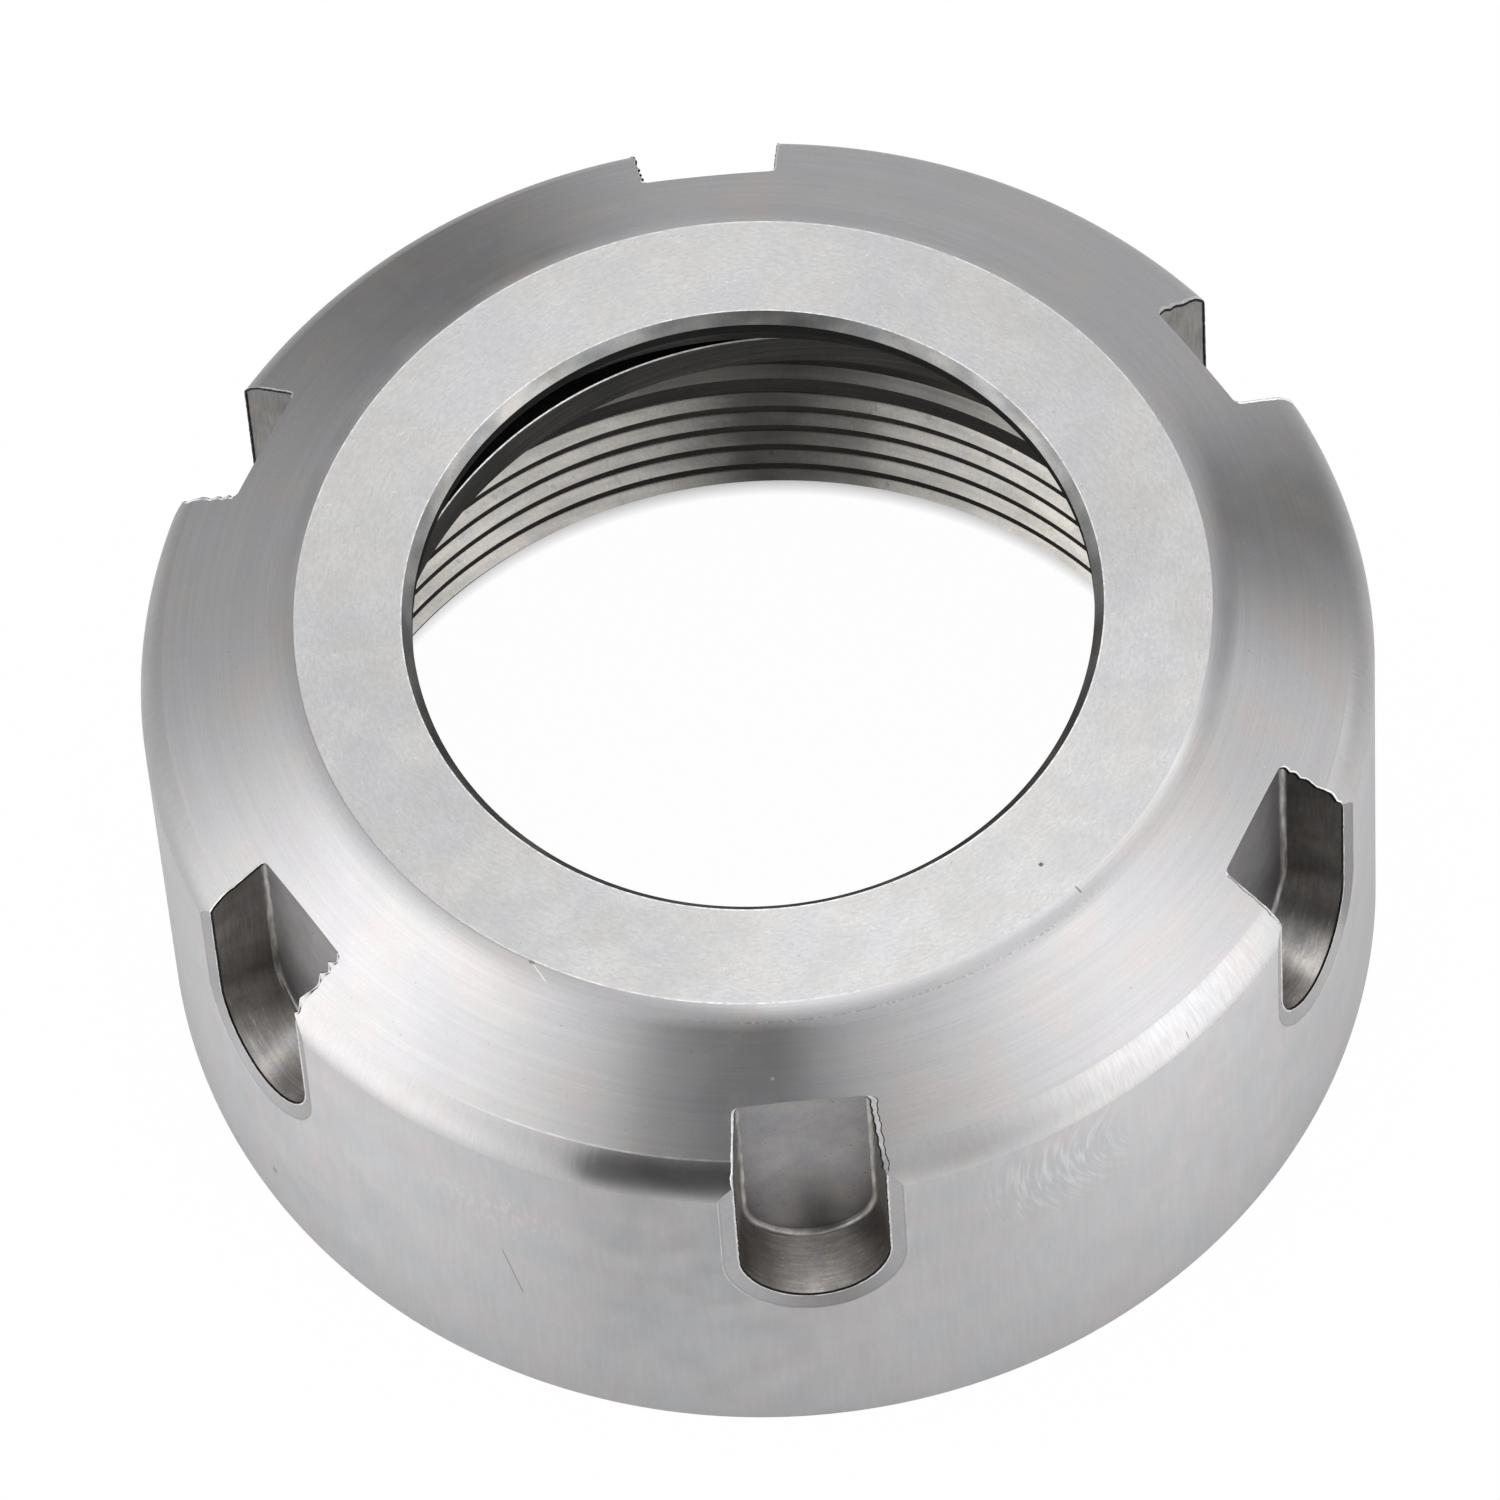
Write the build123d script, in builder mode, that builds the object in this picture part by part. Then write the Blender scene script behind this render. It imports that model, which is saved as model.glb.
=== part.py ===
from build123d import *
import math
import os

os.makedirs("parts", exist_ok=True)

# Clamping nut for spring collets, one piece of turned and milled steel.
# Millimetres. The origin is the centre of the foot, Z is the axis and the front face is on top.

# Body
body_diameter = 50.0
height = 22.5
foot_break = 0.2

# Front of the body: flat face, rounded rim, long cone, and a shoulder that takes off the corner.
# The rim starts at an edge, and the shoulder's arc is so flat that it has an edge at both ends.
face_diameter = 37.0
rim_radius = 3.36
rim_slope = 10.0
cone_slope = 29.5
shoulder_reach = 1.108
shoulder_radius = 2.45

# Spanner slots, open at the front and round at the lower end
slot_count = 6
first_slot_angle = -88.7
slot_floor_distance = 22.0
slot_floor_width = 5.5
slot_floor_end = 10.17
slot_wall_lean = 7.0
slot_floor_corner = 0.22
slot_chamfer_width = 0.65
slot_chamfer_depth = 0.25

# Front opening, with the seat cone that presses on the head of the collet
opening_diameter = 27.5
lip_chamfer_width = 0.39
lip_chamfer_height = 0.45
lip_land_length = 0.55
seat_half_angle = 30.0
head_groove_diameter = 34.0
head_groove_height = 0.7

# Extraction ring, bored off centre so that the collet snaps in from its wide side
ring_diameter = 33.56
ring_offset = 1.45
ring_top = 16.19
ring_thickness = 1.75

# Thread and the relief between thread and ring
thread_diameter = 40.0
thread_pitch = 1.5
thread_height_share = 1.0825
thread_land_end = 9.45
relief_depth = 0.51
relief_slope = 30.0
relief_top = 11.6
entry_chamfer_overcut = 0.2

# How far a cutting tool runs on past the surface it leaves
run_out = 1.0

body_radius = body_diameter / 2
face_radius = face_diameter / 2


def drop(run, slope):
    """Fall of a surface over a radial run, its slope in degrees from level."""
    return run * math.tan(math.radians(slope))


def downhill(slope):
    """Direction outwards and down a surface, its slope in degrees from level."""
    return Vector(math.cos(math.radians(slope)), -math.sin(math.radians(slope)))


# Outer profile
rim_chord = 2 * rim_radius * math.sin(math.radians(cone_slope - rim_slope) / 2)
rim_start = Vector(face_radius, height)
rim_end = rim_start + downhill((rim_slope + cone_slope) / 2) * rim_chord
corner = Vector(body_radius, rim_end.Y - drop(body_radius - rim_end.X, cone_slope))
shoulder_start = corner - downhill(cone_slope) * shoulder_reach
shoulder_end = corner - Vector(0, shoulder_reach)

# Inner profile
opening_radius = opening_diameter / 2
lip_z = height - lip_chamfer_height
seat_top = lip_z - lip_land_length
groove_top = ring_top + head_groove_height
seat_end_radius = opening_radius + (seat_top - groove_top) * math.tan(math.radians(seat_half_angle))
ring_bottom = ring_top - ring_thickness
thread_bore_radius = (thread_diameter - thread_height_share * thread_pitch) / 2
relief_radius = thread_bore_radius + relief_depth
relief_start = thread_land_end + drop(relief_depth, relief_slope)
entry_radius = thread_diameter / 2 + entry_chamfer_overcut
entry_depth = entry_radius - thread_bore_radius

# Slots
slot_half_width = slot_floor_width / 2
slot_arc_z = slot_floor_end + slot_half_width
slot_depth = body_radius - slot_floor_distance
slot_wall_height = math.sqrt(body_radius**2 - slot_half_width**2) - slot_floor_distance

# The floor's corner and the chamfer share the wall, so a low wall limits the corner
corner_room = (slot_wall_height - slot_chamfer_depth) / 2
slot_corner = min(slot_floor_corner, corner_room)


def slot_plane(angle):
    """Plane of one slot's floor: its X runs across the slot, its Y up the nut and its Z outwards."""
    outwards = Vector(1, 0, 0).rotate(Axis.Z, angle)
    across = Vector(0, 1, 0).rotate(Axis.Z, angle)
    return Plane(outwards * slot_floor_distance + Vector(0, 0, slot_arc_z), across, outwards)


slot_planes = [slot_plane(first_slot_angle + 360 / slot_count * index) for index in range(slot_count)]


def in_slot(edge, depth_from, depth_to):
    """True for an edge below the top of the blank, between two depths over a slot's floor."""
    middle = edge @ 0.5
    for floor_plane in slot_planes:
        place = floor_plane.to_local_coords(middle)
        beside = abs(place.X) < slot_floor_width
        if beside and depth_from < place.Z < depth_to and middle.Z < height - run_out:
            return True
    return False


with BuildPart() as nut_body:
    # Plain blank, then the slots, with leaning walls and a small corner left at the floor
    Cylinder(body_radius, height, align=(Align.CENTER, Align.CENTER, Align.MIN))
    slot_length = height - slot_arc_z + run_out
    for floor_plane in slot_planes:
        with BuildSketch(floor_plane):
            Circle(slot_half_width)
            Rectangle(slot_floor_width, slot_length, align=(Align.CENTER, Align.MIN))
        extrude(amount=slot_depth + run_out, taper=-slot_wall_lean, mode=Mode.SUBTRACT)
    floor_edges = [edge for edge in nut_body.edges() if in_slot(edge, -slot_corner, slot_corner)]
    chamfer(floor_edges, slot_corner)

    # Chamfer along the slots on the cylinder, made before the cone and cut off by it
    wall = nut_body.faces().filter_by(GeomType.CYLINDER).sort_by(SortBy.AREA)[-1]
    outline = [edge for edge in wall.edges() if in_slot(edge, slot_depth / 2, slot_depth + run_out)]
    chamfer(outline, slot_chamfer_width, slot_chamfer_depth, reference=wall)
    foot = nut_body.edges().filter_by(GeomType.CIRCLE).group_by(Axis.Z)[0]
    chamfer(foot, foot_break)

    # Rim, cone and shoulder
    with BuildSketch(Plane.XZ):
        with BuildLine():
            rim = TangentArc(rim_start, rim_end, tangent=downhill(rim_slope))
            cone = Line(rim @ 1, shoulder_start)
            shoulder = RadiusArc(cone @ 1, shoulder_end, shoulder_radius)
            Polyline(
                shoulder @ 1,
                (body_radius + run_out, shoulder_end.Y),
                (body_radius + run_out, height + run_out),
                (face_radius, height + run_out),
                rim @ 0,
            )
        make_face()
    revolve(axis=Axis.Z, mode=Mode.SUBTRACT)

    # Thread bore with its entry chamfer, and the relief behind it
    with BuildSketch(Plane.XZ):
        with BuildLine():
            Polyline(
                (0, -run_out),
                (entry_radius, -run_out),
                (entry_radius, 0),
                (thread_bore_radius, entry_depth),
                (thread_bore_radius, thread_land_end),
                (relief_radius, relief_start),
                (relief_radius, relief_top),
                (0, relief_top),
                (0, -run_out),
            )
        make_face()
    revolve(axis=Axis.Z, mode=Mode.SUBTRACT)

    # Lead-in from the relief to the off-centre ring, and the ring's own bore
    with BuildSketch(Plane.XY.offset(relief_top)):
        Circle(relief_radius)
    with BuildSketch(Plane.XY.offset(ring_bottom)):
        with Locations((ring_offset, 0)):
            Circle(ring_diameter / 2)
    loft(mode=Mode.SUBTRACT)
    with BuildSketch(Plane.XY.offset(ring_bottom)):
        with Locations((ring_offset, 0)):
            Circle(ring_diameter / 2)
    extrude(amount=ring_thickness, mode=Mode.SUBTRACT)

    # Groove for the collet's head, seat cone, lip and lip chamfer
    with BuildSketch(Plane.XZ):
        with BuildLine():
            Polyline(
                (0, ring_top),
                (head_groove_diameter / 2, ring_top),
                (head_groove_diameter / 2, groove_top),
                (seat_end_radius, groove_top),
                (opening_radius, seat_top),
                (opening_radius, lip_z),
                (opening_radius + lip_chamfer_width, height),
                (opening_radius + lip_chamfer_width, height + run_out),
                (0, height + run_out),
                (0, ring_top),
            )
        make_face()
    revolve(axis=Axis.Z, mode=Mode.SUBTRACT)

nut_body.part.label = "nut_body"
export_step(nut_body.part, "parts/nut_body.step")
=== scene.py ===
import bpy
import numpy as np
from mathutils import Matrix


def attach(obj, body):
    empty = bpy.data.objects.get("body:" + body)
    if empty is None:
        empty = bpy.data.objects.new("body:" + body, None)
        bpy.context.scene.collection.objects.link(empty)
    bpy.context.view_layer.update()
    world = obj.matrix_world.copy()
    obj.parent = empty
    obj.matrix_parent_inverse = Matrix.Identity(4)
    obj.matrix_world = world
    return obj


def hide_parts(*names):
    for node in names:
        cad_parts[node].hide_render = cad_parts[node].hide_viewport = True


# Clamping nut for spring collets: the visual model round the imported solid.
# Shapes are worked out in millimetres and put into the meshes in metres.

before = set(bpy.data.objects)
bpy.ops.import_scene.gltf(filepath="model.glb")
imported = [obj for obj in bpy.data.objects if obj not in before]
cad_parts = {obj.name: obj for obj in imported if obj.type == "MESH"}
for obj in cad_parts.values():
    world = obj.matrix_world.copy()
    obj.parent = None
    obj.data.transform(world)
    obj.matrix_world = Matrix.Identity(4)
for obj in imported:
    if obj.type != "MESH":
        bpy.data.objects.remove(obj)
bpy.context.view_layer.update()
millimetre, micrometre = 1e-3, 1e-6
tiny = 1e-9
print("frame loaded")

# Patches of surface are gathered here until one call welds them into a mesh. Points within one
# cell of a fine grid become one, and the shift keeps round sizes off the borders of the cells.
patches = []
weld = {"cell": 2e-4, "shift": 0.3717}
finishOrder = [
    "ground", "rim", "turned", "shoulder", "barrel", "wall", "corner", "floor", "chamfer", "lip",
    "bored", "ring", "thread", "broken", "torn", "crease",
]


def shares(steps):
    # evenly spread shares from 0 to 1
    return np.linspace(0, 1, steps + 1)


def unit(vectors):
    # each vector divided by its own length
    return vectors / np.maximum(np.linalg.norm(vectors, axis=-1, keepdims=True), tiny)


def onAxis(radius, height, angle):
    # point at a radius, a height and an angle about the nut's axis
    radius, height, angle = np.broadcast_arrays(radius, height, angle)
    return np.stack([radius * np.cos(angle), radius * np.sin(angle), height], -1)


def addPatch(points, normals, finish, edge=1.0):
    # a grid of points, rows by columns, with the outward normal at each; edge is the distance
    # to a sharp edge in millimetres, where the finish has a line beside one
    points, normals = np.broadcast_arrays(points, normals)
    rows, columns = points.shape[:2]
    edge = np.broadcast_to(edge, (rows, columns)).ravel()
    index = np.arange(rows * columns).reshape(rows, columns)
    a, b, c, d = index[:-1, :-1], index[1:, :-1], index[1:, 1:], index[:-1, 1:]
    halves = [np.stack([a, b, c], -1).reshape(-1, 3), np.stack([a, c, d], -1).reshape(-1, 3)]
    patches.append(
        (points.reshape(-1, 3), normals.reshape(-1, 3), np.concatenate(halves), finish, edge)
    )


def stripNormals(strip, outwards, copies):
    # normals square to a strip's length and width, on the side of the given directions; rows
    # where the strip runs out take the normals of the rows that copies gives for them
    normals = unit(np.cross(np.gradient(strip, axis=0), strip[:, -1:] - strip[:, :1]))
    for row, neighbour in copies.items():
        normals[row] = normals[neighbour]
    return normals * np.where(np.sum(normals * outwards, -1, keepdims=True) < 0, -1.0, 1.0)


def addObject(name, data):
    # an object at the origin, put into the scene
    thing = bpy.data.objects.new(name, data)
    bpy.context.scene.collection.objects.link(thing)
    return thing


def meshFromPatches(name):
    # welds the patches, drops the triangles that collapse, turns each triangle to its normals
    # and keeps those normals and the edge distances at its corners
    points, normals, edges = (
        np.concatenate([patch[item] for patch in patches]) for item in (0, 1, 4)
    )
    starts = np.cumsum([0] + [len(patch[0]) for patch in patches[:-1]])
    corners = np.concatenate([patch[2] + start for patch, start in zip(patches, starts)])
    used = [finish for finish in finishOrder if any(patch[3] == finish for patch in patches)]
    finishes = np.concatenate([np.full(len(patch[2]), used.index(patch[3])) for patch in patches])
    cells = np.floor(points / weld["cell"] + weld["shift"]).astype(np.int64)
    first, welded = np.unique(cells, axis=0, return_index=True, return_inverse=True)[1:]
    triangles = welded.reshape(-1)[corners]
    whole = np.all(triangles != np.roll(triangles, 1, axis=1), axis=1)
    corners, triangles, finishes = corners[whole], triangles[whole], finishes[whole]
    vertices = points[first]
    sides = vertices[triangles]
    facing = np.cross(sides[:, 1] - sides[:, 0], sides[:, 2] - sides[:, 0])
    wrong = np.sum(facing * normals[corners].sum(1), -1) < 0
    triangles[wrong] = triangles[wrong][:, ::-1]
    corners[wrong] = corners[wrong][:, ::-1]
    mesh = bpy.data.meshes.new(name)
    mesh.from_pydata((vertices * millimetre).tolist(), [], triangles.tolist())
    for finish in used:
        mesh.materials.append(materials[finish])
    mesh.polygons.foreach_set("material_index", finishes.astype(np.int32))
    mesh.polygons.foreach_set("use_smooth", np.ones(len(triangles), bool))
    distance = mesh.attributes.new("edgeDistance", "FLOAT", "CORNER")
    distance.data.foreach_set("value", edges[corners].ravel().astype(np.float32))
    mesh.normals_split_custom_set(unit(normals[corners]).reshape(-1, 3).tolist())
    mesh.update()
    patches.clear()
    print(name, len(vertices), "points", len(triangles), "triangles")
    return addObject(name, mesh)


# Outside of the nut: flat face, rounded rim, cone, shoulder and cylinder
body = {
    "radius": 25.0,
    "height": 22.5,
    "faceRadius": 18.5,
    "rimRadius": 3.36,
    "rimSlope": np.radians(10.0),
    "coneSlope": np.radians(29.5),
    "shoulderReach": 1.108,
    "shoulderRadius": 2.45,
    "footBreak": 0.2,
}

# Ends of the rim's arc, the cone and the shoulder's arc, and the outline's length up to each.
# The shoulder's arc takes the same length off the cone and off the cylinder.
rimSlope, coneSlope = body["rimSlope"], body["coneSlope"]
rimEnd = (
    body["faceRadius"] + body["rimRadius"] * (np.sin(coneSlope) - np.sin(rimSlope)),
    body["height"] - body["rimRadius"] * (np.cos(rimSlope) - np.cos(coneSlope)),
)
cornerHeight = rimEnd[1] - (body["radius"] - rimEnd[0]) * np.tan(coneSlope)
coneEnd = (
    body["radius"] - body["shoulderReach"] * np.cos(coneSlope),
    cornerHeight + body["shoulderReach"] * np.sin(coneSlope),
)
shoulderEndHeight = cornerHeight - body["shoulderReach"]
shoulderChord = np.hypot(body["radius"] - coneEnd[0], coneEnd[1] - shoulderEndHeight)
shoulderTurn = 2 * np.arcsin(shoulderChord / 2 / body["shoulderRadius"])
shoulderSlope = (np.pi / 2 + coneSlope - shoulderTurn) / 2
alongRim = body["rimRadius"] * (coneSlope - rimSlope)


def coneAlong(radius):
    # length along the outline at which the cone has a radius
    return alongRim + (radius - rimEnd[0]) / np.cos(coneSlope)


alongCone = coneAlong(coneEnd[0])
alongShoulder = alongCone + body["shoulderRadius"] * shoulderTurn

# Start and bend of the outline's parts: rim (0), cone (1), shoulder (2) and cylinder (3)
outline = {
    "along": np.array([0.0, alongRim, alongCone, alongShoulder]),
    "radius": np.array([body["faceRadius"], rimEnd[0], coneEnd[0], body["radius"]]),
    "height": np.array([body["height"], rimEnd[1], coneEnd[1], shoulderEndHeight]),
    "slope": np.array([rimSlope, coneSlope, shoulderSlope, np.pi / 2]),
    "bend": np.array([1 / body["rimRadius"], 0.0, 1 / body["shoulderRadius"], 0.0]),
}


def outerProfile(along, part=None):
    # radius, height and slope at a length along the outline: the slope grows by length times
    # bend, and the point moves by the chord, in the direction midway between both slopes
    if part is None:
        part = np.searchsorted(outline["along"][1:], along)
    length = along - outline["along"][part]
    turn = length * outline["bend"][part]
    chord = length * np.sinc(turn / (2 * np.pi))
    slope = outline["slope"][part] + turn
    radius = outline["radius"][part] + chord * np.cos(slope - turn / 2)
    height = outline["height"][part] - chord * np.sin(slope - turn / 2)
    return radius, height, slope


def outerPatch(along, angle, finish, part):
    # surface of revolution of one part of that outline
    radius, height, slope = outerProfile(along, part)
    normals = onAxis(np.sin(slope), np.cos(slope), angle)
    addPatch(onAxis(radius, height, angle), normals, finish)


# Spanner slots: flat floor, a quarter round of the cutter's corner, then the leaning wall. The
# columns over the slots start at a length along the outline, capStart, and deepest is how far up
# the wall its edge is looked for. The row counts are for a close stretch at a side's top corner,
# and then down to the cone's end, the chamfer's start, the shoulder's end and the round end.
slots = {
    "count": 6,
    "firstAngle": np.radians(-88.7),
    "floorDistance": 22.0,
    "halfWidth": 2.75,
    "arcHeight": 12.92,
    "lean": np.radians(7.0),
    "floorRound": 0.25,
    "chamferWidth": 0.65,
    "chamferDepth": 0.25,
    "deepest": 6.0,
    "capStart": 3.0,
    "capSteps": 3,
    "closeRows": 0.3,
    "rowCounts": (6, 7, 9, 9, 9),
    "arcSteps": 26,
    "roundSteps": 5,
    "wallSteps": 5,
    "chamferSteps": 8,
    "floorColumns": 14,
    "landColumns": 48,
}
floorRise = slots["floorRound"] * (1 - np.sin(slots["lean"]))
roundCentre = slots["halfWidth"] - floorRise / np.cos(slots["lean"])
roundTurn = np.pi / 2 - slots["lean"]


def slotSection(way):
    # distance across, depth and turn at a way up the section: from 0 to 1 the way goes over the
    # quarter round by its angle, and above 1 it goes up the wall in millimetres of depth
    turn = np.clip(way, 0, 1) * roundTurn
    climb = np.maximum(way - 1, 0)
    across = roundCentre + slots["floorRound"] * np.sin(turn) + climb * np.tan(slots["lean"])
    return across, slots["floorRound"] * (1 - np.cos(turn)) + climb, turn


def wayToRadius(radius, cosine, halvings=46):
    # way at which a row's section reaches a radius about the nut's axis, by halving the range;
    # the distance across counts by the cosine of the row's turn round the end
    low, high = np.zeros_like(radius), np.full_like(radius, slots["deepest"])
    for halving in range(halvings):
        middle = (low + high) / 2
        across, depth, turn = slotSection(middle)
        reached = np.hypot(slots["floorDistance"] + depth, across * cosine) < radius
        low, high = np.where(reached, middle, low), np.where(reached, high, middle)
    return (low + high) / 2


# Rows of one slot side, from its top corner on the cone down to the middle of the round end
alongCorner = coneAlong(np.hypot(slots["floorDistance"], roundCentre))
fadeSine = np.sin(shoulderSlope) + (
    (body["radius"] - slots["chamferDepth"] - coneEnd[0]) / body["shoulderRadius"]
)
alongFade = alongCone + body["shoulderRadius"] * (np.arcsin(fadeSine) - shoulderSlope)
alongArc = alongShoulder + shoulderEndHeight - slots["arcHeight"]
stops = (
    alongCorner, alongCorner + slots["closeRows"], alongCone, alongFade, alongShoulder, alongArc,
)
straight = np.concatenate(
    [
        np.linspace(start, end, count, endpoint=False)
        for start, end, count in zip(stops[:-1], stops[1:], slots["rowCounts"])
    ]
)
arcAngles = np.pi / 2 * shares(slots["arcSteps"])
rowArc = np.concatenate([np.zeros(len(straight)), arcAngles])
rowAlong = np.concatenate([straight, np.full(len(arcAngles), alongArc)])
rowCos, rowSin = np.cos(rowArc), np.sin(rowArc)
rowRadius, rowHeight, rowSlope = outerProfile(rowAlong)


def rowLevel(across):
    # height of each row at a distance across the slot: its own height, and on the round end
    # the arc's middle less that distance times the row's sine
    return np.where(
        rowArc > 0, slots["arcHeight"] - np.transpose(across) * rowSin, rowHeight
    ).T


# Wall edge of each row, and the chamfer's outer edge, which fades out over the shoulder
wallRadius = np.minimum(rowRadius, body["radius"] - slots["chamferDepth"])
wallWay = wayToRadius(wallRadius, rowCos)
edgeAcross, edgeDepth = slotSection(wallWay)[:2]
barrelAcross = slotSection(wayToRadius(np.full_like(rowRadius, body["radius"]), rowCos))[0]
sunk = body["radius"] - rowRadius
chamferReach = slots["chamferWidth"] * np.clip(1 - sunk / slots["chamferDepth"], 0, 1)
rimAngle = np.where(
    chamferReach > 0,
    np.arcsin(barrelAcross * rowCos / body["radius"]) + chamferReach * rowCos / body["radius"],
    np.arctan2(edgeAcross, slots["floorDistance"] + edgeDepth),
)
rimAngle[-1] = 0.0
rimHeight = rowLevel(barrelAcross + chamferReach)
rimAlong = np.where(rowArc > 0, alongShoulder + shoulderEndHeight - rimHeight, rowAlong)
outerRadius = outerProfile(rimAlong)[0]
edgeHeight = rowLevel(edgeAcross)

# Columns: across a slot's floor, over the land beside it, and both all round the nut
slotAngles, sectorTurn = np.linspace(0, 2 * np.pi, slots["count"], endpoint=False, retstep=True)
slotAngles = slotAngles + slots["firstAngle"]
landShare = shares(slots["landColumns"])
floorAcross = roundCentre * (2 * shares(slots["floorColumns"]) - 1)
floorAngle = np.arctan(floorAcross / slots["floorDistance"])
floorTopAlong = coneAlong(slots["floorDistance"] / np.cos(floorAngle))
topLand = rimAngle[0] + (sectorTurn - 2 * rimAngle[0]) * landShare
sectorColumns = np.concatenate([floorAngle[:-1], topLand[:-1]])
frontAngles = (slotAngles[:, None] + sectorColumns).ravel()
frontAngles = np.append(frontAngles, frontAngles[0] + 2 * np.pi)
footAngles = slots["firstAngle"] + 2 * np.pi * shares(slots["count"] * slots["landColumns"])


def slotVectors(angle, across, up, outwards):
    # vector from its three parts in a slot: across it, up the nut and outwards
    across, up, outwards = np.broadcast_arrays(across, up, outwards)
    x = outwards * np.cos(angle) - across * np.sin(angle)
    y = outwards * np.sin(angle) + across * np.cos(angle)
    return np.stack([x, y, up], -1)


def slotPoints(angle, across, height, depth):
    # place in a slot: across it, up the nut and outwards from its floor
    return slotVectors(angle, across, height, slots["floorDistance"] + depth)


# What all slots share: rows of each finish, the floor's grid, and the ways up a side, each row
# of which stops at the wall's edge
coneRows = rowAlong <= alongCone + tiny
barrelRows = rowAlong >= alongShoulder - tiny
shoulderRows = (rowAlong >= alongCone - tiny) & (rowAlong <= alongShoulder + tiny)
chamferRows = rowAlong >= alongFade - tiny
chamferShare = shares(slots["chamferSteps"])[None, :, None]
capShare = shares(slots["capSteps"])[:, None]
floorWide = rowCos[:, None] * floorAcross
floorHeight = np.repeat(rowLevel(roundCentre)[:, None], len(floorAcross), 1)
floorHeight[0] = outerProfile(floorTopAlong)[1]
sideWay = wallWay[:, None]
roundWay = np.minimum(shares(slots["roundSteps"]), sideWay)
leaningWay = np.minimum(sideWay, 1) + np.maximum(sideWay - 1, 0) * shares(slots["wallSteps"])

for angle in slotAngles:
    # land between this slot and the next, its rows level and its columns spread evenly
    landAngle = angle + rimAngle[:, None] + (sectorTurn - 2 * rimAngle[:, None]) * landShare
    outerPatch(rimAlong[coneRows, None], landAngle[coneRows], "turned", 1)
    outerPatch(rimAlong[shoulderRows, None], landAngle[shoulderRows], "shoulder", 2)
    outerPatch(rimAlong[barrelRows, None], landAngle[barrelRows], "barrel", 3)

    # cone above the slot and above the land
    for foot, columns in ((floorTopAlong, angle + floorAngle), (alongCorner, landAngle[0])):
        capAlong = slots["capStart"] + (foot - slots["capStart"]) * capShare
        outerPatch(capAlong, columns, "turned", 1)

    # flat floor, its first row on the cone and its last one point
    floorPoints = slotPoints(angle, floorWide, floorHeight, 0.0)
    addPatch(floorPoints, slotVectors(angle, 0.0, 0.0, 1.0), "floor")

    for side in (-1, 1):
        # quarter round and wall
        for way, finish in ((roundWay, "corner"), (leaningWay, "wall")):
            across, depth, turn = slotSection(way)
            points = slotPoints(angle, side * across * rowCos[:, None], rowLevel(across), depth)
            inwards, upwards = -side * rowCos[:, None], rowSin[:, None]
            normals = slotVectors(
                angle, inwards * np.sin(turn), upwards * np.sin(turn), np.cos(turn)
            )
            addPatch(points, normals, finish, sideWay - way)

        # chamfer from the wall's edge out to the cylinder
        inner = slotPoints(angle, side * edgeAcross * rowCos, edgeHeight, edgeDepth)
        outer = onAxis(outerRadius, rimHeight, angle + side * rimAngle)
        strip = (inner[:, None] + (outer - inner)[:, None] * chamferShare)[chamferRows]
        normals = stripNormals(strip, strip * (1, 1, 0), {0: 1})
        addPatch(strip, normals, "chamfer", chamferShare[..., 0])

# Rim and the start of the cone
for start, end, steps, finish, part in (
    (0.0, alongRim, 10, "rim", 0),
    (alongRim, slots["capStart"], 4, "turned", 1),
):
    outerPatch(start + (end - start) * shares(steps)[:, None], frontAngles, finish, part)
print("outside worked out")

# Inside, from the front: lip chamfer, land, seat cone, groove, off-centre ring and relief
inside = {
    "openingRadius": 13.75,
    "lipChamferWidth": 0.39,
    "lipChamferHeight": 0.45,
    "lipLand": 0.55,
    "seatAngle": np.radians(30.0),
    "grooveRadius": 17.0,
    "grooveHeight": 0.7,
    "ringRadius": 16.78,
    "ringOffset": 1.45,
    "ringTop": 16.19,
    "ringThickness": 1.75,
    "ringBreak": 0.05,
    "reliefRadius": 19.698,
    "reliefTop": 11.6,
    "reliefStart": 9.744,
    "landTop": 9.45,
    "levelLooseness": 0.0017,
}

# Thread: an internal metric profile of 60 degrees wound round the bore, right-hand. The last
# turn fades out towards the relief.
thread = {
    "pitch": 1.5,
    "rootRadius": 20.0,
    "depthShare": 0.54125,
    "crestShare": 1 / 4,
    "rootShare": 1 / 8,
    "crestAngle": np.radians(50.0),
    "crestHeight": 7.0,
    "firstTurn": -2,
    "lastTurn": 6,
    "fadeStart": np.radians(215.0),
    "fadeTurn": np.radians(45.0),
    "entryRadius": 20.2,
    "entrySlope": 0.7,
    "leastStrip": 1e-6,
}
openingRadius = inside["openingRadius"]
ringTop, ringOffset = inside["ringTop"], inside["ringOffset"]
lipHeight = body["height"] - inside["lipChamferHeight"]
seatTop = lipHeight - inside["lipLand"]
grooveTop = ringTop + inside["grooveHeight"]
seatFoot = openingRadius + (seatTop - grooveTop) * np.tan(inside["seatAngle"])
breakRadius = inside["ringRadius"] + inside["ringBreak"]
pitch, rootRadius = thread["pitch"], thread["rootRadius"]
crestRadius = rootRadius - thread["depthShare"] * pitch


def revolve(start, stretches, angles):
    # straight-sided surfaces of revolution from circle to circle, each circle a radius, a height
    # and a distance of its centre from the axis; the normal is square to the side, on the right
    # of the way from one circle to the next as drawn with the axis at the left
    for finish, steps, *end in stretches:
        share = shares(steps)[:, None]
        radius, height, offset = (a + (b - a) * share for a, b in zip(start, end))
        points = onAxis(radius, height, angles)
        points[..., 0] += offset
        run = end[0] - start[0] + (end[2] - start[2]) * np.cos(angles)
        addPatch(points, unit(onAxis(end[1] - start[1], -run, angles)), finish)
        start = end


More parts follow.
